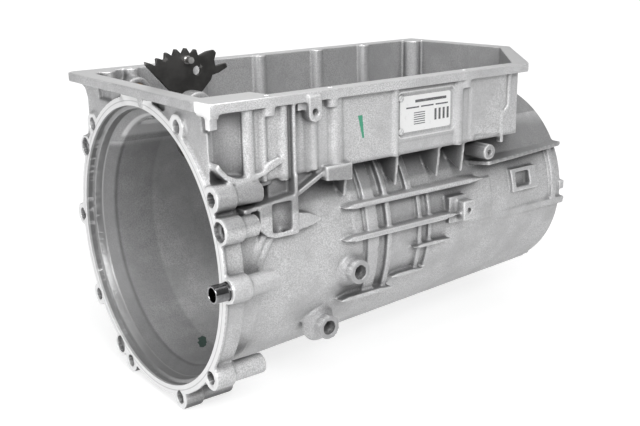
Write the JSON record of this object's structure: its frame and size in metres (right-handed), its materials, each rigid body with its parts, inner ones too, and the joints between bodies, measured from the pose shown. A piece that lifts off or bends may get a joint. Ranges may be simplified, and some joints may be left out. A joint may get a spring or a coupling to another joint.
{
  "type": "gearbox housing",
  "caption": "Cast aluminium housing of a longitudinal automatic gearbox, open front bore and sump, with selector plate and parking lock fitted",
  "frame": {"origin": "centre of the front bore in the front flange face", "axes": "+X along the gearbox axis to the rear, +Y to the side away from the label, +Z towards the sump opening"},
  "size_m": [0.5043, 0.3245, 0.3336],
  "materials": {
    "cast_aluminium": "as-cast, fine grain",
    "dark_steel": "oiled black pressed steel",
    "bright_steel": "ground",
    "spring_steel": "drawn wire",
    "sleeve_steel": "polished dark",
    "bronze": "sintered",
    "seal_rubber": "matte",
    "label_foil": "satin foil"
  },
  "bodies": {
    "root": {"housing": "cast_aluminium", "dowel_sleeve": "sleeve_steel", "identification_label": "label_foil", "bearing_cup": "bright_steel", "bearing_snap_ring": "spring_steel", "output_seal": "seal_rubber", "near_bush": "bronze", "far_bush": "bronze", "shaft_seal": "seal_rubber", "guide_plate": "dark_steel", "guide_screws": "bright_steel", "pawl_pin": "bright_steel", "pawl_spring": "spring_steel"},
    "selector": {"selector_shaft": "bright_steel", "detent_plate": "dark_steel", "lock_pin": "spring_steel", "valve_pin": "bright_steel"},
    "rod": {"parking_rod": "bright_steel", "rod_clip": "spring_steel", "park_cone": "dark_steel", "cone_spring": "spring_steel"},
    "pawl": {"park_pawl": "dark_steel"}
  },
  "joints": [
    {"name": "selector_turn", "type": "hinge", "parent": "root", "child": "selector", "pos_m": [0.059, 0.016, 0.131], "axis": [0, 1, 0], "range_deg": [-17.5, 17.5]},
    {"name": "rod_slide", "type": "slide", "parent": "root", "child": "rod", "axis": [1, 0, 0], "range_m": [-0.0145, 0.0145]},
    {"name": "pawl_turn", "type": "hinge", "parent": "root", "child": "pawl", "pos_m": [0.429, -0.034, 0.078], "axis": [1, 0, 0], "range_deg": [-2.2, 2.2]}
  ],
  "couplings": [
    {"joint": "rod_slide", "follows": "selector_turn", "m_per_rad": -0.043},
    {"joint": "pawl_turn", "follows": "selector_turn", "ratio": 0.1038}
  ]
}
